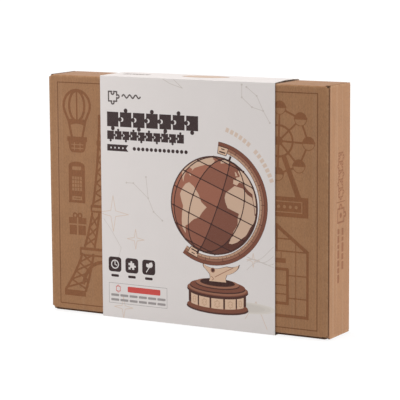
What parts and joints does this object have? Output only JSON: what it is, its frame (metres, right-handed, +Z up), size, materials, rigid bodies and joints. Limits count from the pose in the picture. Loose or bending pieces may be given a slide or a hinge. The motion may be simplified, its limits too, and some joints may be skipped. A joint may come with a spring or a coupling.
{
  "type": "boxed wooden globe puzzle",
  "caption": "Flat mailer box of corrugated board with a printed paper sleeve that slides off its middle, holding a kit of laser-cut plywood sheets for a globe.",
  "frame": {"origin": "on the surface that it stands on, under the middle of the box", "axes": "+X along the box's length to the right, -Y out of the lid at the front, +Z up towards the wall that the lid is hinged to"},
  "size_m": [0.312, 0.0502, 0.2422],
  "materials": {
    "kraft_board": "brown kraft corrugated board, printed in darker brown, matte, with raw fluted edges",
    "sleeve_paper": "white coated paper board with a printed picture, matte lacquer",
    "plywood": "unfinished birch plywood with laser-charred cut edges",
    "booklet_paper": "uncoated paper, stapled",
    "staple_wire": "bright wire",
    "kraft_card": "plain brown card",
    "wax": "pale translucent wax",
    "abrasive_paper": "fine sandpaper",
    "dowel_wood": "smooth turned hardwood"
  },
  "bodies": {
    "box": {"base_panel": "kraft_board", "top_wall": "kraft_board", "bottom_wall": "kraft_board", "lid_panel": "kraft_board", "lid_tuck_flap": "kraft_board", "lid_ear_left": "kraft_board", "lid_ear_right": "kraft_board", "side_wall_left": "kraft_board", "side_wall_right": "kraft_board", "side_rollover_left": "kraft_board", "side_rollover_right": "kraft_board", "side_liner_left": "kraft_board", "side_liner_right": "kraft_board", "corner_flap_top_left": "kraft_board", "corner_flap_top_right": "kraft_board", "corner_flap_bottom_left": "kraft_board", "corner_flap_bottom_right": "kraft_board", "tile_sheet_1_frame": "plywood", "tile_sheet_1_tiles": "plywood", "tile_sheet_2_frame": "plywood", "tile_sheet_2_tiles": "plywood", "tile_sheet_3_frame": "plywood", "tile_sheet_3_tiles": "plywood", "tile_sheet_4_frame": "plywood", "tile_sheet_4_tiles": "plywood", "rib_sheet_5_frame": "plywood", "rib_sheet_5_ribs": "plywood", "rib_sheet_6_frame": "plywood", "rib_sheet_6_ribs": "plywood", "rib_sheet_7_frame": "plywood", "rib_sheet_7_ribs": "plywood", "rib_sheet_8_frame": "plywood", "rib_sheet_8_ribs": "plywood", "rib_sheet_9_frame": "plywood", "rib_sheet_9_ribs": "plywood", "rib_sheet_10_frame": "plywood", "rib_sheet_10_ribs": "plywood", "booklet_cover": "booklet_paper", "booklet_pages": "booklet_paper", "booklet_staples": "staple_wire", "accessory_tray": "kraft_card", "accessory_cover": "kraft_card", "wax_block": "wax", "sandpaper": "abrasive_paper", "dowel_rods": "dowel_wood"},
    "sleeve": {"sleeve_front_panel": "sleeve_paper", "sleeve_top_panel": "sleeve_paper", "sleeve_back_panel": "sleeve_paper", "sleeve_bottom_panel": "sleeve_paper", "sleeve_glue_flap": "sleeve_paper"}
  },
  "joints": [
    {"name": "sleeve_slide", "type": "slide", "parent": "box", "child": "sleeve", "axis": [1, 0, 0], "range_m": [-0.26, 0.26]}
  ]
}
